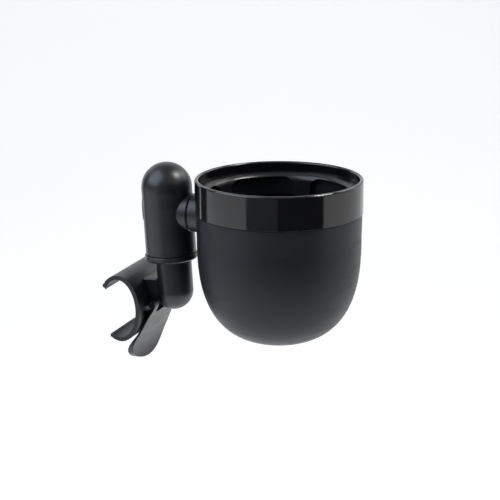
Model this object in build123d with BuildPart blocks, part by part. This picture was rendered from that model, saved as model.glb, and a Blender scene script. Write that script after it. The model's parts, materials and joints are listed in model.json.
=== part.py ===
from build123d import *
import math
import os

os.makedirs("parts", exist_ok=True)

# Clip-on cup holder. Millimetres, +Z up along the cup's axis at rest.
# The origin is the centre of the tube channel, +Y runs along the tube and
# +X points from the tube to the cup.
# "arm" coordinates lean about Y with the swivel post: u away from the tube,
# v along the tube, w up the post.

# ---------------------------------------------------------------- sizes
arm_lean = 3.0            # degrees the post leans back from the cup's axis

# tube clip
tube_width = 20.6         # channel across the tube, along u
tube_height = 33.8        # channel along w
clip_wall = 2.5
clip_length = 51.0        # along the tube
upper_lip_u = -7.9        # where the upper jaw ends
lower_lip_u = -5.4        # where the lower jaw ends
lip_bead = 1.35           # radius of the rounded jaw ends
neck_width = 19.0
neck_chamfer = 0.9
neck_below_pin = 0.4      # wall under the lever's pin

# lower capsule, fixed to the clip
capsule_radius = 11.3
capsule_sink = 0.9        # how far the capsule's back sinks into the clip wall
capsule_bottom = -5.9     # w
capsule_wall = 2.0
flat_back = 5.1           # flat face, behind the post axis
ledge_height = 14.2       # top of the clip's neck, w
cavity_cover = 1.5        # ceiling of the nut's hollow below the ledge
collar_base = 24.2        # top of the capsule, w

# collar and post swivel
collar_radius = 15.1
collar_height = 3.2
collar_low_chamfer = 0.7
collar_top_chamfer = 0.25
swivel_gap = 0.5          # seam between collar and arm
running_fit = 0.05        # radial, between a turning shaft and its bore
fixed_fit = 0.03          # radial, between pieces that stay together
part_gap = 0.3            # axial, between pieces that turn past each other
bolt_radius = 2.5         # M5
bolt_head_radius = 4.3
bolt_head_height = 3.4
hex_key_radius = 2.15
hex_key_depth = 1.7
nut_flats = 8.0
nut_height = 3.2
nut_clear = 0.4           # depth left behind the nut in its pocket
washer_radius = 4.65
washer_height = 1.0
wave_inset = 0.3          # wave washer's edge inside the flat washer's
wave_clear = 0.5          # radial, wave washer to bolt
wave_wire = 0.7           # thickness of the wave washer's ring
bush_radius = 4.0
bush_length = 7.0

# arm
pill_radius = 14.4
pill_wall = 2.0
pill_top = 80.1           # w of the dome's top
stub_height = 52.1        # w of the cup pivot
stub_radius = 10.85
stub_proud = 0.9          # stub face beyond the pill's side
stub_chamfer = 0.5
plate_height = 3.0
screw_radius = 1.25
screw_head_radius = 2.2
screw_head_height = 1.3
screw_length = 9.0
screw_boss_radius = 3.1
screw_boss_sink = 0.1     # how far a boss runs into the wall beside it
pivot_boss_radius = 6.5
pivot_boss_depth = 1.6
cap_radius = 7.0
cap_proud = 0.4
cap_thickness = 2.2

# cup
hub_length = 4.9          # from the swivel seam to the cup's side
cup_radius = 46.5
cup_height = 92.4
rim_over_pivot = 23.8
ring_height = 18.8
ring_wall = 2.3
rim_round = 1.1
seam_chamfer = 0.35
bowl_inset = 0.5          # bowl surface inside the ring's surface
bowl_draft = 0.3          # the bowl narrows this much over its straight part
bowl_straight = 0.35      # share of the cup's height above the bowl's curve
bowl_fullness = 2.7       # 2 is an ellipse, larger is squarer
bowl_foot_share = 0.994   # how much of the bowl's rounded end is kept
bowl_points = 10
bowl_wall = 2.5
bowl_step = 1.5           # inside the bowl, below the neck
neck_clear = 1.0          # bowl's neck to the liner's wall
hub_screw_spread = 7.0
hub_screw_length = 8.5

# liner
shelf_depth = 5.9         # below the rim
shelf_height = 1.8
liner_gap = 0.5           # liner edge to the ring
liner_radius = 38.4
liner_taper = 1.2         # the wall's radius shrinks this much down to the cone
liner_wall = 2.5
shelf_flare = 4.2          # radius of the bend from the shelf into the wall
liner_ribs = 5
first_rib = 90.0          # degrees from +X
window_width = 37.0
window_round = 5.5
window_sill = 3.0         # above the socket's cone
socket_radius = 30.5
socket_share = 0.14       # straight part of the socket, as a share of the cup height
socket_floor_share = 0.23 # floor above the cup's underside, same share
socket_cone = 8.0         # height over which the socket narrows

# release lever
lever_pin_radius = 1.0
lever_pin_clear = 2.6     # pin axis beyond the clip's outer face
lever_pin_w = -0.3
knuckle_radius = 2.15
knuckle_inner = 11.0      # distance of the knuckles from the middle
knuckle_outer = 13.6
lever_top_half_width = 15.2
lever_top = 1.8           # w
lever_half_width = 22.6
lever_widest = -21.5      # w
lever_end = -34.8         # w
lever_notch = -5.9        # w, foot of the opening around the capsule
lever_notch_round = 2.5
# faces of the lever's plate, as u beyond the pin and w
lever_front = [(3.5, lever_top), (2.2, -2.4), (-0.7, -7.0),
               (-4.8, -14.6), (-9.1, -22.0), (-10.8, lever_end)]
lever_back = [(1.8, lever_top), (0.9, -3.4), (-2.6, -8.0),
              (-6.7, -15.6), (-12.2, -22.8), (-14.2, lever_end)]
spring_wire = 0.2
spring_radius = 1.32
spring_start = 13.9
spring_turns = 4
spring_pitch = 0.5
pin_half_length = 15.8

# ---------------------------------------------------------------- derived
lean = math.radians(arm_lean)
u_dir = (math.cos(lean), 0, math.sin(lean))
w_dir = (-math.sin(lean), 0, math.cos(lean))
arm_side = Plane((0, 0, 0), x_dir=u_dir, z_dir=(0, -1, 0))     # local (u, w)


def world(u, w):
    """World x and z of a point given in arm coordinates."""
    return (u * math.cos(lean) - w * math.sin(lean),
            u * math.sin(lean) + w * math.cos(lean))


clip_outer_u = tube_width / 2 + clip_wall
clip_outer_w = tube_height / 2 + clip_wall
pin_u = clip_outer_u + lever_pin_clear
half_neck = neck_width / 2
neck_low = lever_pin_w - lever_pin_radius - neck_below_pin
post_u = clip_outer_u - capsule_sink + capsule_radius
back_u = post_u - flat_back
capsule_centre = capsule_bottom + capsule_radius
capsule_inner = capsule_radius - capsule_wall
cavity_top = ledge_height - cavity_cover
post_x, post_z = world(post_u, 0)
post_axis = Axis((post_x, 0, post_z), w_dir)
post_plan = Plane((post_x, 0, post_z), x_dir=u_dir, z_dir=w_dir)
collar_top = collar_base + collar_height
arm_base = collar_top + swivel_gap
dome_w = pill_top - pill_radius
pill_inner = pill_radius - pill_wall
plate_screw_spread = pill_inner - screw_boss_radius + screw_boss_sink
plate_screw_spots = [(0, plate_screw_spread), (0, -plate_screw_spread)]
pivot_x, pivot_z = world(post_u, stub_height)
seam_x = pivot_x + pill_radius + stub_proud
hub_x = seam_x + part_gap
cup_x = hub_x + hub_length + cup_radius
rim_z = pivot_z + rim_over_pivot
ring_z = rim_z - ring_height
cup_bottom = rim_z - cup_height
bowl_radius = cup_radius - bowl_inset
bowl_inner = bowl_radius - bowl_wall
ring_inner = cup_radius - ring_wall
neck_radius = ring_inner - fixed_fit
curve_radius = bowl_radius - bowl_draft
curve_z = rim_z - bowl_straight * cup_height
curve_height = (curve_z - cup_bottom) / bowl_foot_share
cup_axis = Axis((cup_x, 0, 0), (0, 0, 1))
cup_side = Plane((cup_x, 0, 0), x_dir=(1, 0, 0), z_dir=(0, -1, 0))  # local (r, z)
pivot_face = Plane((pivot_x, 0, pivot_z), x_dir=(0, 1, 0), z_dir=(1, 0, 0))
pivot_axis = Axis((pivot_x, 0, pivot_z), (1, 0, 0))
shelf_z = rim_z - shelf_depth
neck_top = shelf_z - shelf_height - part_gap
neck_inner = liner_radius + liner_wall + neck_clear
liner_outer = ring_inner - liner_gap
floor_z = cup_bottom + socket_floor_share * cup_height
socket_top = floor_z + liner_wall + socket_share * cup_height
cone_top = socket_top + socket_cone
cone_radius = liner_radius - liner_taper
window_low = cone_top + window_sill
window_high = shelf_z - shelf_height
hub_screw_spots = [(hub_screw_spread, 0), (-hub_screw_spread, 0)]
bolt_hole = bolt_radius + running_fit
far = 200.0               # longer than anything here, for cutting blocks


# ---------------------------------------------------------------- clip
# Outline of the whole lower capsule; the clip carries the part behind the
# flat face and the housing the part in front of it.
with BuildPart() as capsule_form:
    with BuildSketch(arm_side):
        with BuildLine():
            Line((post_u, capsule_bottom), (post_u, collar_base))
            Line((post_u, collar_base), (post_u + capsule_radius, collar_base))
            Line((post_u + capsule_radius, collar_base),
                 (post_u + capsule_radius, capsule_centre))
            CenterArc((post_u, capsule_centre), capsule_radius, 0, -90)
        make_face()
    revolve(axis=post_axis)

with BuildPart() as capsule_back:
    add(capsule_form.part)
    with BuildSketch(arm_side):
        with Locations((back_u - far / 2, ledge_height - far / 2)):
            Rectangle(far, far)
    extrude(amount=far / 2, both=True, mode=Mode.INTERSECT)

with BuildPart() as tube_clip:
    with BuildSketch(arm_side):
        Ellipse(clip_outer_u, clip_outer_w)
    extrude(amount=clip_length / 2, both=True)
    with BuildSketch(Plane((0, 0, 0), x_dir=(0, 1, 0), z_dir=u_dir)):
        with BuildLine():
            Polyline((-half_neck, neck_low), (half_neck, neck_low),
                     (half_neck, ledge_height - neck_chamfer),
                     (half_neck - neck_chamfer, ledge_height),
                     (neck_chamfer - half_neck, ledge_height),
                     (-half_neck, ledge_height - neck_chamfer), close=True)
        make_face()
    extrude(amount=back_u)
    add(capsule_back.part)
    # tube channel, open on the side away from the cup
    with BuildSketch(arm_side):
        Ellipse(tube_width / 2, tube_height / 2)
        with Locations((lower_lip_u - far / 2, -far / 2)):
            Rectangle(far, far)
        with Locations((upper_lip_u - far / 2, far / 2)):
            Rectangle(far, far)
    extrude(amount=far / 2, both=True, mode=Mode.SUBTRACT)
    # rounded jaw ends
    mid_u = tube_width / 2 + clip_wall / 2
    mid_w = tube_height / 2 + clip_wall / 2
    with BuildSketch(arm_side):
        with Locations((upper_lip_u, mid_w * math.sqrt(1 - (upper_lip_u / mid_u) ** 2)),
                       (lower_lip_u, -mid_w * math.sqrt(1 - (lower_lip_u / mid_u) ** 2))):
            Circle(lip_bead)
    extrude(amount=clip_length / 2, both=True)
    # bore for the lever's pin
    with BuildSketch(arm_side):
        with Locations((pin_u, lever_pin_w)):
            Circle(lever_pin_radius + fixed_fit)
    extrude(amount=neck_width, both=True, mode=Mode.SUBTRACT)

with BuildPart() as lower_housing:
    add(capsule_form.part)
    # hollow for the swivel's nut, closed behind by the clip
    with BuildSketch(arm_side):
        with BuildLine():
            Polyline((post_u, capsule_centre - capsule_inner), (post_u, cavity_top),
                     (post_u + capsule_inner, cavity_top),
                     (post_u + capsule_inner, capsule_centre))
            CenterArc((post_u, capsule_centre), capsule_inner, 0, -90)
        make_face()
    revolve(axis=post_axis, mode=Mode.SUBTRACT)
    with BuildSketch(arm_side):
        with Locations((back_u + fixed_fit + far / 2, 0)):
            Rectangle(far, far)
    extrude(amount=far / 2, both=True, mode=Mode.INTERSECT)
    with BuildSketch(post_plan.offset(cavity_top - capsule_wall)):
        Circle(bolt_radius + part_gap)
    extrude(amount=far, mode=Mode.SUBTRACT)
    with BuildSketch(post_plan.offset(collar_top - bush_length)):
        Circle(bush_radius + fixed_fit)
    extrude(amount=far, mode=Mode.SUBTRACT)

with BuildPart() as swivel_collar:
    with BuildSketch(post_plan.offset(collar_base)):
        Circle(collar_radius)
    extrude(amount=collar_height)
    chamfer(swivel_collar.edges().sort_by(post_axis)[0], collar_low_chamfer)
    chamfer(swivel_collar.edges().sort_by(post_axis)[-1], collar_top_chamfer)
    with BuildSketch(post_plan.offset(collar_base)):
        Circle(bush_radius + fixed_fit)
    extrude(amount=collar_height, mode=Mode.SUBTRACT)

with BuildPart() as post_bush:
    with BuildSketch(post_plan.offset(collar_top - bush_length + fixed_fit)):
        Circle(bush_radius)
        Circle(bolt_hole, mode=Mode.SUBTRACT)
    extrude(amount=bush_length - fixed_fit)

with BuildPart() as lever_pin:
    with BuildSketch(arm_side):
        with Locations((pin_u, lever_pin_w)):
            Circle(lever_pin_radius)
    extrude(amount=pin_half_length, both=True)

pin_x, pin_z = world(pin_u, lever_pin_w)
with BuildPart() as lever_springs:
    for side in (1, -1):
        with BuildLine() as coil:
            Helix(spring_pitch, spring_pitch * spring_turns, spring_radius,
                  center=(pin_x, side * spring_start, pin_z), direction=(0, side, 0))
        with BuildSketch(Plane(coil.line @ 0, z_dir=coil.line % 0)):
            Circle(spring_wire)
        sweep(path=coil.line, is_frenet=True)

# ---------------------------------------------------------------- lever
with BuildPart() as release_lever:
    with BuildSketch(arm_side):
        with BuildLine():
            outer = Spline(*[(pin_u + u, w) for u, w in lever_front])
            inner = Spline(*[(pin_u + u, w) for u, w in lever_back])
            Line(outer @ 0, inner @ 0)
            Line(outer @ 1, inner @ 1)
        make_face()
    extrude(amount=lever_half_width, both=True)
    # outline seen from the front
    with BuildSketch(Plane((0, 0, 0), x_dir=(0, 1, 0), z_dir=u_dir)):
        with Locations((0, lever_widest)):
            Ellipse(lever_half_width, lever_widest - lever_end)
        with BuildLine():
            Polyline((-lever_top_half_width, lever_top), (lever_top_half_width, lever_top),
                     (lever_half_width, lever_widest), (-lever_half_width, lever_widest),
                     close=True)
        make_face()
        with Locations((0, lever_notch + far / 2)):
            RectangleRounded(2 * knuckle_inner, far, lever_notch_round, mode=Mode.SUBTRACT)
    extrude(amount=far, mode=Mode.INTERSECT)
    # knuckles behind its upper corners
    for side in (1, -1):
        with BuildSketch(arm_side.offset(-side * knuckle_inner)):
            with Locations((pin_u, lever_pin_w)):
                Circle(knuckle_radius)
            with Locations((pin_u + knuckle_radius / 2, lever_pin_w)):
                Rectangle(knuckle_radius, knuckle_radius)
        extrude(amount=-side * (knuckle_outer - knuckle_inner))
    with BuildSketch(arm_side):
        with Locations((pin_u, lever_pin_w)):
            Circle(lever_pin_radius + running_fit)
    extrude(amount=lever_half_width, both=True, mode=Mode.SUBTRACT)

# ---------------------------------------------------------------- arm
cap_face = Plane((pivot_x, 0, pivot_z), x_dir=(0, 1, 0), z_dir=(-1, 0, 0))
with BuildPart() as upper_housing:
    with BuildSketch(arm_side):
        with BuildLine():
            Line((post_u, arm_base), (post_u + pill_radius, arm_base))
            Line((post_u + pill_radius, arm_base), (post_u + pill_radius, dome_w))
            CenterArc((post_u, dome_w), pill_radius, 0, 90)
            Line((post_u, pill_top), (post_u, arm_base))
        make_face()
    revolve(axis=post_axis)
    with BuildSketch(Plane.XZ):
        with BuildLine():
            Polyline((pivot_x, pivot_z), (pivot_x, pivot_z + stub_radius),
                     (seam_x - stub_chamfer, pivot_z + stub_radius),
                     (seam_x, pivot_z + stub_radius - stub_chamfer), (seam_x, pivot_z),
                     close=True)
        make_face()
    revolve(axis=pivot_axis)
    with BuildSketch(arm_side):
        with BuildLine():
            Line((post_u, arm_base), (post_u + pill_inner, arm_base))
            Line((post_u + pill_inner, arm_base), (post_u + pill_inner, dome_w))
            CenterArc((post_u, dome_w), pill_inner, 0, 90)
            Line((post_u, dome_w + pill_inner), (post_u, arm_base))
        make_face()
    revolve(axis=post_axis, mode=Mode.SUBTRACT)
    # flat seat for the pivot's washers, inside
    with BuildSketch(pivot_face.offset(pill_inner - pivot_boss_depth)):
        Circle(pivot_boss_radius)
    extrude(amount=pivot_boss_depth + pill_wall / 2)
    with BuildSketch(post_plan.offset(arm_base + plate_height + fixed_fit)):
        with Locations(*plate_screw_spots):
            Circle(screw_boss_radius)
    extrude(amount=screw_length)
    with BuildSketch(post_plan.offset(arm_base + plate_height)):
        with Locations(*plate_screw_spots):
            Circle(screw_radius + fixed_fit)
    extrude(amount=screw_length - plate_height + screw_head_height, mode=Mode.SUBTRACT)
    with BuildSketch(pivot_face):
        Circle(bolt_hole)
    extrude(amount=far, mode=Mode.SUBTRACT)
    with BuildSketch(cap_face):
        Circle(cap_radius)
    extrude(amount=far, mode=Mode.SUBTRACT)

with BuildPart() as pivot_cap:
    with BuildSketch(cap_face):
        Circle(cap_radius - fixed_fit)
    extrude(amount=far / 2)
    with BuildSketch(post_plan):
        Circle(pill_radius + cap_proud)
    extrude(amount=far, mode=Mode.INTERSECT)
    with BuildSketch(post_plan):
        Circle(pill_radius + cap_proud - cap_thickness)
    extrude(amount=far, mode=Mode.SUBTRACT)

with BuildPart() as swivel_plate:
    with BuildSketch(post_plan.offset(arm_base)):
        Circle(pill_inner - fixed_fit)
        Circle(bolt_radius + fixed_fit, mode=Mode.SUBTRACT)
        with Locations(*plate_screw_spots):
            Circle(screw_radius + fixed_fit, mode=Mode.SUBTRACT)
    extrude(amount=plate_height)
    with BuildSketch(post_plan.offset(arm_base)):
        with Locations(*plate_screw_spots):
            Circle(screw_head_radius + fixed_fit)
    extrude(amount=screw_head_height + part_gap, mode=Mode.SUBTRACT)

with BuildPart() as plate_screws:
    with BuildSketch(post_plan.offset(arm_base + part_gap)):
        with Locations(*plate_screw_spots):
            Circle(screw_head_radius)
    extrude(amount=screw_head_height)
    with BuildSketch(post_plan.offset(arm_base + part_gap)):
        with Locations(*plate_screw_spots):
            Circle(screw_radius)
    extrude(amount=screw_length)

# Stack of the post swivel, from the washer under the hollow's ceiling down.
washer_w = cavity_top - part_gap - washer_height
wave_w = washer_w - fixed_fit - wave_wire
nut_w = wave_w - fixed_fit - nut_height
with BuildPart() as post_bolt:
    with BuildSketch(post_plan.offset(arm_base + plate_height)):
        Circle(bolt_head_radius)
    extrude(amount=bolt_head_height)
    with BuildSketch(post_plan.offset(arm_base + plate_height + bolt_head_height)):
        RegularPolygon(hex_key_radius, 6)
    extrude(amount=-hex_key_depth, mode=Mode.SUBTRACT)
    with BuildSketch(post_plan.offset(nut_w - washer_height)):
        Circle(bolt_radius)
    extrude(amount=arm_base + plate_height - nut_w + washer_height)

with BuildPart() as post_washer:
    with BuildSketch(post_plan.offset(washer_w)):
        Circle(washer_radius)
        Circle(bolt_radius + fixed_fit, mode=Mode.SUBTRACT)
    extrude(amount=washer_height)

with BuildPart() as post_wave_washer:
    with BuildSketch(post_plan.offset(wave_w)):
        Circle(washer_radius - wave_inset)
        Circle(bolt_radius + wave_clear, mode=Mode.SUBTRACT)
    extrude(amount=wave_wire)

with BuildPart() as post_nut:
    with BuildSketch(post_plan.offset(nut_w)):
        RegularPolygon(nut_flats / 2, 6, major_radius=False)
        Circle(bolt_radius + fixed_fit, mode=Mode.SUBTRACT)
    extrude(amount=nut_height)

# ---------------------------------------------------------------- cup
def bowl_curve(inset):
    """Section of the bowl's rounded end, from its straight side to its flat foot."""
    power = 2 / bowl_fullness
    end = math.asin(bowl_foot_share ** (1 / power))
    turns = [end * k / bowl_points for k in range(bowl_points + 1)]
    return [((curve_radius - inset) * math.cos(turn) ** power,
             curve_z - (curve_height - inset / bowl_foot_share) * math.sin(turn) ** power)
            for turn in turns]


with BuildPart() as cup_bowl:
    with BuildSketch(cup_side):
        with BuildLine():
            Spline(*bowl_curve(0))
            Line(bowl_curve(0)[-1], (0, cup_bottom))
            Line((0, cup_bottom), (0, neck_top))
            Line((0, neck_top), (neck_radius, neck_top))
            Line((neck_radius, neck_top), (neck_radius, ring_z - fixed_fit))
            Line((neck_radius, ring_z - fixed_fit), (bowl_radius - seam_chamfer, ring_z - fixed_fit))
            Line((bowl_radius - seam_chamfer, ring_z - fixed_fit),
                 (bowl_radius, ring_z - fixed_fit - seam_chamfer))
            Line((bowl_radius, ring_z - fixed_fit - seam_chamfer), (curve_radius, curve_z))
        make_face()
    revolve(axis=cup_axis)
    with BuildSketch(cup_side):
        with BuildLine():
            Spline(*bowl_curve(bowl_wall))
            Polyline(bowl_curve(bowl_wall)[-1], (0, cup_bottom + bowl_wall), (0, neck_top),
                     (neck_inner, neck_top), (neck_inner, ring_z),
                     (bowl_inner, ring_z - bowl_step),
                     (curve_radius - bowl_wall, curve_z))
        make_face()
    revolve(axis=cup_axis, mode=Mode.SUBTRACT)
    with BuildSketch(pivot_face):
        with Locations(*hub_screw_spots):
            Circle(screw_radius + fixed_fit)
    extrude(amount=cup_x - pivot_x, mode=Mode.SUBTRACT)

with BuildPart() as cup_ring:
    with BuildSketch(cup_side):
        with Locations(((ring_inner + cup_radius) / 2, (ring_z + rim_z) / 2)):
            Rectangle(ring_wall, ring_height)
    revolve(axis=cup_axis)
    fillet(cup_ring.edges().group_by(Axis.Z)[-1], rim_round)
    chamfer(cup_ring.edges().group_by(Axis.Z)[0].sort_by(SortBy.LENGTH)[-1], seam_chamfer)

# the nut's pocket opens towards the bowl
pocket_x = cup_x - bowl_radius - nut_height - nut_clear
with BuildPart() as cup_hub:
    with BuildSketch(Plane.XZ):
        with BuildLine():
            Polyline((hub_x, pivot_z), (hub_x, pivot_z + stub_radius - stub_chamfer),
                     (hub_x + stub_chamfer, pivot_z + stub_radius),
                     (cup_x - ring_inner, pivot_z + stub_radius),
                     (cup_x - ring_inner, pivot_z), close=True)
        make_face()
    revolve(axis=pivot_axis)
    # saddle against the bowl and, above the seam, the ring
    with BuildSketch(Plane((cup_x, 0, ring_z - fixed_fit))):
        Circle(cup_radius + fixed_fit)
    extrude(amount=far / 2, mode=Mode.SUBTRACT)
    with BuildSketch(Plane((cup_x, 0, ring_z - fixed_fit))):
        Circle(bowl_radius + fixed_fit)
    extrude(amount=-far / 2, mode=Mode.SUBTRACT)
    with BuildSketch(pivot_face):
        Circle(bolt_radius + fixed_fit)
        with Locations(*hub_screw_spots):
            Circle(screw_radius + fixed_fit)
    extrude(amount=cup_x - pivot_x, mode=Mode.SUBTRACT)
    with BuildSketch(pivot_face.offset(pocket_x - pivot_x)):
        RegularPolygon(nut_flats / 2 + fixed_fit, 6, major_radius=False)
    extrude(amount=far, mode=Mode.SUBTRACT)

with BuildPart() as cup_pivot_nut:
    with BuildSketch(pivot_face.offset(pocket_x - pivot_x + fixed_fit)):
        RegularPolygon(nut_flats / 2, 6, major_radius=False)
        Circle(bolt_radius + fixed_fit, mode=Mode.SUBTRACT)
    extrude(amount=nut_height)

seat_x = pivot_x + pill_inner - pivot_boss_depth
cup_washer_x = seat_x - part_gap - washer_height
cup_wave_x = cup_washer_x - fixed_fit - wave_wire
cup_head_x = cup_wave_x - fixed_fit
with BuildPart() as cup_pivot_bolt:
    with BuildSketch(pivot_face.offset(cup_head_x - pivot_x)):
        Circle(bolt_head_radius)
    extrude(amount=-bolt_head_height)
    with BuildSketch(pivot_face.offset(cup_head_x - bolt_head_height - pivot_x)):
        RegularPolygon(hex_key_radius, 6)
    extrude(amount=hex_key_depth, mode=Mode.SUBTRACT)
    with BuildSketch(pivot_face.offset(cup_head_x - pivot_x)):
        Circle(bolt_radius)
    extrude(amount=pocket_x + nut_height - cup_head_x)

with BuildPart() as cup_washer:
    with BuildSketch(pivot_face.offset(cup_washer_x - pivot_x)):
        Circle(washer_radius)
        Circle(bolt_radius + fixed_fit, mode=Mode.SUBTRACT)
    extrude(amount=washer_height)

with BuildPart() as cup_wave_washer:
    with BuildSketch(pivot_face.offset(cup_wave_x - pivot_x)):
        Circle(washer_radius - wave_inset)
        Circle(bolt_radius + wave_clear, mode=Mode.SUBTRACT)
    extrude(amount=wave_wire)

# screws from inside the bowl into the hub
screw_face_x = cup_x - math.sqrt((bowl_inner - bowl_draft / 2) ** 2
                                 - (hub_screw_spread + screw_head_radius) ** 2)
with BuildPart() as hub_screws:
    with BuildSketch(pivot_face.offset(screw_face_x - pivot_x)):
        with Locations(*hub_screw_spots):
            Circle(screw_head_radius)
    extrude(amount=screw_head_height)
    with BuildSketch(pivot_face.offset(screw_face_x + screw_head_height - pivot_x)):
        with Locations(*hub_screw_spots):
            Circle(screw_radius)
    extrude(amount=-hub_screw_length)

# ---------------------------------------------------------------- liner
with BuildPart() as cup_liner:
    with BuildSketch(cup_side):
        with BuildLine():
            bend = CenterArc((liner_radius + shelf_flare, shelf_z - shelf_flare), shelf_flare, 90, 90)
            Polyline(bend @ 1, (cone_radius, cone_top), (socket_radius, socket_top),
                     (socket_radius, floor_z + liner_wall), (0, floor_z + liner_wall),
                     (0, floor_z), (socket_radius + liner_wall, floor_z),
                     (socket_radius + liner_wall, socket_top),
                     (cone_radius + liner_wall, cone_top),
                     (liner_radius + liner_wall, shelf_z - shelf_height),
                     (liner_outer, shelf_z - shelf_height), (liner_outer, shelf_z), bend @ 0)
        make_face()
    revolve(axis=cup_axis)
    for rib in range(liner_ribs):
        angle = math.radians(first_rib + (rib + 0.5) * 360 / liner_ribs)
        with BuildSketch(Plane((cup_x, 0, (window_low + window_high) / 2),
                               x_dir=(-math.sin(angle), math.cos(angle), 0),
                               z_dir=(math.cos(angle), math.sin(angle), 0))):
            RectangleRounded(window_width, window_high - window_low, window_round)
        extrude(amount=cup_radius, mode=Mode.SUBTRACT)

# ---------------------------------------------------------------- export
tube_clip.part.label = "tube_clip"
export_step(tube_clip.part, "parts/tube_clip.step")
lower_housing.part.label = "lower_housing"
export_step(lower_housing.part, "parts/lower_housing.step")
swivel_collar.part.label = "swivel_collar"
export_step(swivel_collar.part, "parts/swivel_collar.step")
post_bush.part.label = "post_bush"
export_step(post_bush.part, "parts/post_bush.step")
lever_pin.part.label = "lever_pin"
export_step(lever_pin.part, "parts/lever_pin.step")
lever_springs.part.label = "lever_springs"
export_step(lever_springs.part, "parts/lever_springs.step")
release_lever.part.label = "release_lever"
export_step(release_lever.part, "parts/release_lever.step")
upper_housing.part.label = "upper_housing"
export_step(upper_housing.part, "parts/upper_housing.step")
pivot_cap.part.label = "pivot_cap"
export_step(pivot_cap.part, "parts/pivot_cap.step")
swivel_plate.part.label = "swivel_plate"
export_step(swivel_plate.part, "parts/swivel_plate.step")
plate_screws.part.label = "plate_screws"
export_step(plate_screws.part, "parts/plate_screws.step")
post_bolt.part.label = "post_bolt"
export_step(post_bolt.part, "parts/post_bolt.step")
post_washer.part.label = "post_washer"
export_step(post_washer.part, "parts/post_washer.step")
post_wave_washer.part.label = "post_wave_washer"
export_step(post_wave_washer.part, "parts/post_wave_washer.step")
post_nut.part.label = "post_nut"
export_step(post_nut.part, "parts/post_nut.step")
cup_bowl.part.label = "cup_bowl"
export_step(cup_bowl.part, "parts/cup_bowl.step")
cup_ring.part.label = "cup_ring"
export_step(cup_ring.part, "parts/cup_ring.step")
cup_hub.part.label = "cup_hub"
export_step(cup_hub.part, "parts/cup_hub.step")
cup_pivot_nut.part.label = "cup_pivot_nut"
export_step(cup_pivot_nut.part, "parts/cup_pivot_nut.step")
cup_pivot_bolt.part.label = "cup_pivot_bolt"
export_step(cup_pivot_bolt.part, "parts/cup_pivot_bolt.step")
cup_washer.part.label = "cup_washer"
export_step(cup_washer.part, "parts/cup_washer.step")
cup_wave_washer.part.label = "cup_wave_washer"
export_step(cup_wave_washer.part, "parts/cup_wave_washer.step")
hub_screws.part.label = "hub_screws"
export_step(hub_screws.part, "parts/hub_screws.step")
cup_liner.part.label = "cup_liner"
export_step(cup_liner.part, "parts/cup_liner.step")
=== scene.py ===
import json
import math

import bpy
from mathutils import Matrix, Vector


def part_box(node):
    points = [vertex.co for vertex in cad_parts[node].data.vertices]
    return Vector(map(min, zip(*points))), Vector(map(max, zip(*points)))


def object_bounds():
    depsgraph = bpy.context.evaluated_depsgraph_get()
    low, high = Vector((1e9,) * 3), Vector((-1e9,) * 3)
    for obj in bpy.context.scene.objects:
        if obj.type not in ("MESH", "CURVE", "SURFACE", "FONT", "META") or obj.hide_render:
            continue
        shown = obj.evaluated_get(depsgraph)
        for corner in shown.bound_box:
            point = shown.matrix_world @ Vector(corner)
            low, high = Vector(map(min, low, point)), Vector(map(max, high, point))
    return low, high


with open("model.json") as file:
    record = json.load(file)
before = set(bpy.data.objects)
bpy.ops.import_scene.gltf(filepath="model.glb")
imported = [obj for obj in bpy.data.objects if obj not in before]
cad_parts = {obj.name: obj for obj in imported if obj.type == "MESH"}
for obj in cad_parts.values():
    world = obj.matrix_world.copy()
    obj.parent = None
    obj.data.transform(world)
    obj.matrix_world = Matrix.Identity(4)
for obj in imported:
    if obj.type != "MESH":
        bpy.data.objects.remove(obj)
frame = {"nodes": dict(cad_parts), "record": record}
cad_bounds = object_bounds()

MM = 0.001
WHITE = (0.93, 0.93, 0.93, 1.0)


# ---------------------------------------------------------------- places from the frame
def corners(node):
    low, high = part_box(node)
    return Vector(low), Vector(high)


ring_low, ring_high = corners("cup_ring")
cup_x = (ring_low.x + ring_high.x) / 2
rim_z = ring_high.z
object_low, object_high = (Vector(v) for v in cad_bounds)


# ---------------------------------------------------------------- materials
MIX_FACTOR, MIX_FIRST, MIX_SECOND, MIX_RESULT = 0, 6, 7, 2      # the Mix node's colour sockets


def shade(color, gain, lift):
    """The colour scaled and lifted, as wear, dust or tarnish changes it."""
    return tuple(min(1.0, c * gain + lift) for c in color[:3]) + (1.0,)


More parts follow.
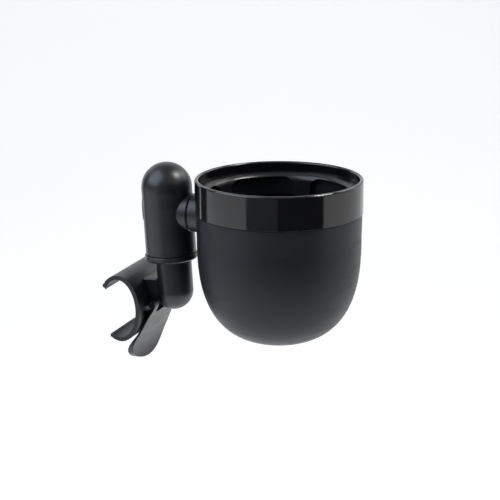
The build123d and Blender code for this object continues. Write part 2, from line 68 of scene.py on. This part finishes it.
class Nodes:
    """Small helper that adds and joins the nodes of one material."""

    def __init__(self, name):
        self.material = bpy.data.materials.new(name)
        self.material.use_nodes = True
        self.tree = self.material.node_tree
        self.shader = self.tree.nodes["Principled BSDF"]
        self.coords = self.add("ShaderNodeTexCoord").outputs["Object"]

    def add(self, kind, **values):
        node = self.tree.nodes.new(kind)
        for key, value in values.items():
            setattr(node, key, value)
        return node

    def join(self, source, target):
        self.tree.links.new(source, target)

    def noise(self, scale, detail=3.0, stretch=None):
        node = self.add("ShaderNodeTexNoise")
        node.inputs["Scale"].default_value = scale
        node.inputs["Detail"].default_value = detail
        if stretch:
            mapping = self.add("ShaderNodeMapping")
            mapping.inputs["Scale"].default_value = stretch
            self.join(self.coords, mapping.inputs["Vector"])
            self.join(mapping.outputs["Vector"], node.inputs["Vector"])
        else:
            self.join(self.coords, node.inputs["Vector"])
        return node.outputs["Fac"]

    def spread(self, source, low, high, from_low=0.3, from_high=0.7):
        node = self.add("ShaderNodeMapRange")
        node.inputs["From Min"].default_value = from_low
        node.inputs["From Max"].default_value = from_high
        node.inputs["To Min"].default_value = low
        node.inputs["To Max"].default_value = high
        self.join(source, node.inputs["Value"])
        return node.outputs["Result"]

    def mix_color(self, factor, first, second):
        node = self.add("ShaderNodeMix", data_type="RGBA")
        node.inputs[MIX_FIRST].default_value = first
        node.inputs[MIX_SECOND].default_value = second
        self.join(factor, node.inputs[MIX_FACTOR])
        return node.outputs[MIX_RESULT]

    def bump(self, heights):
        """Chains (height, strength, distance) into the shader's normal."""
        normal = None
        for height, strength, distance in heights:
            node = self.add("ShaderNodeBump")
            node.inputs["Strength"].default_value = strength
            node.inputs["Distance"].default_value = distance
            self.join(height, node.inputs["Height"])
            if normal:
                self.join(normal, node.inputs["Normal"])
            normal = node.outputs["Normal"]
        self.join(normal, self.shader.inputs["Normal"])


def moulded_plastic(name, color, roughness, grain, grain_scale, wear=0.25, specular=0.5):
    """Black moulded plastic: spark-eroded grain, faint sink waves, scuffs and dust in the grain."""
    n = Nodes(name)
    n.shader.inputs["Specular IOR Level"].default_value = specular
    scuffs = n.noise(55.0, 8.0, (1.0, 1.0, 6.0))
    broad = n.noise(22.0, 2.0)
    fine = n.noise(grain_scale, 2.0)
    worn = n.spread(scuffs, 0.0, wear, from_low=0.52, from_high=0.72)
    n.join(n.mix_color(worn, color, shade(color, 1.55, 0.004)), n.shader.inputs["Base Color"])
    rough = n.add("ShaderNodeMath", operation="ADD")
    n.join(n.spread(broad, roughness - 0.035, roughness + 0.035), rough.inputs[0])
    n.join(n.spread(scuffs, 0.0, 0.10, from_low=0.5, from_high=0.75), rough.inputs[1])
    n.join(rough.outputs[0], n.shader.inputs["Roughness"])
    n.bump([(fine, grain, 0.00006), (broad, 0.06, 0.0006)])
    return n.material


def gloss_plastic(name, color):
    """Polished black plastic with faint waves, hairline scratches and smears."""
    n = Nodes(name)
    n.shader.inputs["Specular IOR Level"].default_value = 0.85
    smears = n.noise(30.0, 5.0)
    waves = n.noise(14.0, 1.0)
    hairs = n.noise(240.0, 2.0, (1.0, 1.0, 0.06))
    hazy = n.spread(smears, 0.0, 0.5, from_low=0.5, from_high=0.8)
    n.join(n.mix_color(hazy, color, shade(color, 1.4, 0.003)), n.shader.inputs["Base Color"])
    n.join(n.spread(smears, 0.075, 0.16, from_low=0.4, from_high=0.75), n.shader.inputs["Roughness"])
    n.bump([(waves, 0.035, 0.0008), (hairs, 0.05, 0.00002)])
    return n.material


def soft_rubber(name, color):
    """Soft dark moulding with a satin sheen and dust in its grain."""
    n = Nodes(name)
    n.shader.inputs["Specular IOR Level"].default_value = 0.5
    broad = n.noise(28.0, 3.0)
    fine = n.noise(1500.0, 2.0)
    dust = n.noise(90.0, 6.0)
    dusty = n.spread(dust, 0.0, 0.4, from_low=0.5, from_high=0.75)
    n.join(n.mix_color(dusty, color, shade(color, 1.7, 0.006)), n.shader.inputs["Base Color"])
    n.join(n.spread(broad, 0.22, 0.31), n.shader.inputs["Roughness"])
    n.bump([(fine, 0.10, 0.00004), (broad, 0.08, 0.0005)])
    return n.material


def metal(name, color, roughness):
    """Metal with fine streaks and a little tarnish."""
    n = Nodes(name)
    n.shader.inputs["Metallic"].default_value = 1.0
    brushed = n.noise(700.0, 3.0, (1.0, 1.0, 0.1))
    n.join(n.mix_color(n.noise(60.0, 4.0), color, shade(color, 0.85, 0.0)), n.shader.inputs["Base Color"])
    n.join(n.spread(brushed, roughness - 0.06, roughness + 0.08), n.shader.inputs["Roughness"])
    n.bump([(brushed, 0.08, 0.00002)])
    return n.material


arm_plastic = moulded_plastic("arm_plastic", (0.0085, 0.0092, 0.0115, 1), roughness=0.33,
                              grain=0.16, grain_scale=1500.0, specular=0.72)
clip_plastic = moulded_plastic("clip_plastic", (0.0095, 0.0100, 0.0120, 1), roughness=0.36,
                               grain=0.18, grain_scale=1500.0, specular=0.62)
bowl_plastic = moulded_plastic("bowl_plastic", (0.0075, 0.0090, 0.0136, 1), roughness=0.42,
                               grain=0.22, grain_scale=1300.0, wear=0.2, specular=0.42)
ring_plastic = gloss_plastic("ring_plastic", (0.006, 0.0062, 0.0072, 1))
liner_rubber = soft_rubber("liner_rubber", (0.012, 0.0122, 0.0135, 1))
nylon = moulded_plastic("nylon", (0.62, 0.60, 0.54, 1), roughness=0.45,
                        grain=0.1, grain_scale=900.0, wear=0.1)
steel = metal("steel", (0.60, 0.60, 0.62, 1), roughness=0.3)
dark_steel = metal("dark_steel", (0.05, 0.05, 0.055, 1), roughness=0.4)

LOOKS = {
    "black_moulded": arm_plastic, "matt_bowl": bowl_plastic, "gloss_ring": ring_plastic,
    "liner_rubber": liner_rubber, "nylon": nylon, "steel": steel, "dark_steel": dark_steel,
}
slots = {p["node"]: p["material_slot"] for p in frame["record"]["subparts"]}
for node, piece in frame["nodes"].items():
    look = clip_plastic if node in ("tube_clip", "release_lever") else LOOKS[slots[node]]
    piece.data.materials.clear()
    piece.data.materials.append(look)


# ---------------------------------------------------------------- floor, backdrop, light
def light_path_sum(tree, *kinds):
    """One where the ray is of any of these kinds, zero for the others."""
    rays = tree.nodes.new("ShaderNodeLightPath")
    total = rays.outputs[kinds[0]]
    for kind in kinds[1:]:
        either = tree.nodes.new("ShaderNodeMath")
        either.operation = "MAXIMUM"
        tree.links.new(total, either.inputs[0])
        tree.links.new(rays.outputs[kind], either.inputs[1])
        total = either.outputs[0]
    return total


def stage_paint(name, color, glow):
    """Pale matt paint that the camera and reflections see lifted to white."""
    material = bpy.data.materials.new(name)
    material.use_nodes = True
    tree = material.node_tree
    shader = tree.nodes["Principled BSDF"]
    shader.inputs["Base Color"].default_value = color
    shader.inputs["Roughness"].default_value = 0.9
    shader.inputs["Specular IOR Level"].default_value = 0.1
    shader.inputs["Emission Color"].default_value = (1, 1, 1, 1)
    strength = tree.nodes.new("ShaderNodeMath")
    strength.operation = "MULTIPLY"
    strength.inputs[1].default_value = glow
    rays = light_path_sum(tree, "Is Camera Ray", "Is Glossy Ray", "Is Transmission Ray")
    tree.links.new(rays, strength.inputs[0])
    tree.links.new(strength.outputs[0], shader.inputs["Emission Strength"])
    return material


FLOOR_DROP = 300 * MM              # the holder hangs from its tube, clear of the floor
BACKDROP_GLOW = 0.43
SKY_STRENGTH = 0.26
floor_z = object_low.z - FLOOR_DROP
centre = (object_low + object_high) / 2
cup_middle = Vector((cup_x, 0, centre.z))


def sweep_backdrop():
    """Floor that curves up into a wall behind the object."""
    half, near, far, bend, top = 3.0, -3.0, 1.6, 0.9, 2.6      # metres from the object's middle
    steps = 16
    profile = [(near, 0.0), (far - bend, 0.0)]
    for k in range(1, steps + 1):
        turn = math.radians(90 * k / steps)
        profile.append((far - bend + bend * math.sin(turn), bend - bend * math.cos(turn)))
    profile.append((far, top))
    verts = [(x, y, z) for y, z in profile for x in (-half, half)]
    faces = [(2 * k, 2 * k + 1, 2 * k + 3, 2 * k + 2) for k in range(len(profile) - 1)]
    mesh = bpy.data.meshes.new("backdrop")
    mesh.from_pydata(verts, [], faces)
    mesh.polygons.foreach_set("use_smooth", [True] * len(faces))
    sheet = bpy.data.objects.new("backdrop", mesh)
    bpy.context.collection.objects.link(sheet)
    sheet.data.materials.append(stage_paint("stage_paint", WHITE, BACKDROP_GLOW))
    sheet.location = (centre.x, centre.y, floor_z)
    return sheet


AZIMUTH, ELEVATION, ROLL = 21.2, 15.2, -0.37
a, e = math.radians(AZIMUTH), math.radians(ELEVATION)
back = Vector((math.sin(a) * math.cos(e), -math.cos(a) * math.cos(e), math.sin(e)))

backdrop = sweep_backdrop()
backdrop.rotation_euler = (0, 0, a)


def heading(azimuth, elevation):
    """Direction from the cup, the azimuth counted to the right of the camera."""
    turn, rise = math.radians(AZIMUTH + azimuth), math.radians(elevation)
    return Vector((math.sin(turn) * math.cos(rise), -math.cos(turn) * math.cos(rise), math.sin(rise)))


def softbox(name, azimuth, elevation, distance, width, height, radiance, tint=(1, 1, 1)):
    """Rectangular lamp of an even radiance that faces the cup; sizes in metres."""
    away = heading(azimuth, elevation)
    lamp = bpy.data.lights.new(name, "AREA")
    lamp.shape = "RECTANGLE"
    lamp.size = width
    lamp.size_y = height
    lamp.energy = radiance * math.pi * width * height
    lamp.color = tint
    piece = bpy.data.objects.new(name, lamp)
    bpy.context.collection.objects.link(piece)
    piece.location = cup_middle + away * distance
    piece.rotation_euler = away.to_track_quat("Z", "Y").to_euler()
    return piece


FLAG_LOW, FLAG_HIGH = -0.34, 0.40          # about the middle of the cup


def flag(name, azimuth, distance, width, paint):
    """Upright card that darkens what the gloss reflects, out of every view."""
    away = heading(azimuth, 0)
    across = Vector((away.y, -away.x, 0)) * width / 2
    foot = cup_middle + away * distance
    verts = [foot - across + Vector((0, 0, FLAG_LOW)), foot + across + Vector((0, 0, FLAG_LOW)),
             foot + across + Vector((0, 0, FLAG_HIGH)), foot - across + Vector((0, 0, FLAG_HIGH))]
    mesh = bpy.data.meshes.new(name)
    mesh.from_pydata(verts, [], [(0, 1, 2, 3)])
    card = bpy.data.objects.new(name, mesh)
    bpy.context.collection.objects.link(card)
    card.data.materials.append(paint)
    card.visible_camera = False
    card.visible_shadow = False
    return card


def card_paint(name, grey):
    """Matt paint of one plain grey."""
    material = bpy.data.materials.new(name)
    material.use_nodes = True
    shader = material.node_tree.nodes["Principled BSDF"]
    shader.inputs["Base Color"].default_value = (grey, grey, grey, 1)
    shader.inputs["Roughness"].default_value = 0.95
    return material


card_black = card_paint("card_black", 0.02)
card_grey = card_paint("card_grey", 0.22)

COOL = (0.73, 0.84, 1.0)
stage = [
    softbox("key", azimuth=86, elevation=55, distance=1.1, width=0.35, height=0.35, radiance=14.5),
    softbox("left_panel", azimuth=-72, elevation=41, distance=1.2, width=1.2, height=1.1, radiance=2.4,
            tint=COOL),
    softbox("left_strip", azimuth=-137, elevation=5, distance=1.1, width=0.23, height=1.1, radiance=0.5,
            tint=COOL),
    softbox("right_back", azimuth=122, elevation=36, distance=1.2, width=0.6, height=0.5, radiance=2.0),
    flag("front_flag", azimuth=28, distance=0.75, width=0.92, paint=card_black),
    flag("grey_flag", azimuth=-24, distance=0.80, width=0.61, paint=card_grey),
    flag("left_flag", azimuth=-122, distance=0.75, width=0.24, paint=card_black),
]
world = bpy.data.worlds.new("studio")
bpy.context.scene.world = world
world.use_nodes = True
sky = world.node_tree.nodes["Background"]
sky.inputs["Color"].default_value = (1, 1, 1, 1)
sky.inputs["Strength"].default_value = SKY_STRENGTH

# ---------------------------------------------------------------- camera
LENS, SENSOR = 108.0, 36.0
RIM_DISTANCE = 823.27 * MM         # from the lens to the rim's centre, along the view
RIM_ASIDE = 15.92 * MM             # the rim's centre, right of the view's middle
RIM_ABOVE = 39.57 * MM             # and above it
camera_data = bpy.data.cameras.new("camera")
camera = bpy.data.objects.new("camera", camera_data)
bpy.context.collection.objects.link(camera)
camera_data.sensor_width = SENSOR
camera_data.lens = LENS
right = Vector((math.cos(a), math.sin(a), 0))
up = back.cross(right)
rolled = Matrix.Rotation(math.radians(ROLL), 3, back)
right, up = rolled @ right, rolled @ up
rim = Vector((cup_x, 0, rim_z))
camera.location = rim + back * RIM_DISTANCE - right * RIM_ASIDE - up * RIM_ABOVE
camera.rotation_euler = Matrix((right, up, back)).transposed().to_euler()
bpy.context.scene.camera = camera

bpy.context.scene.view_settings.view_transform = "Standard"
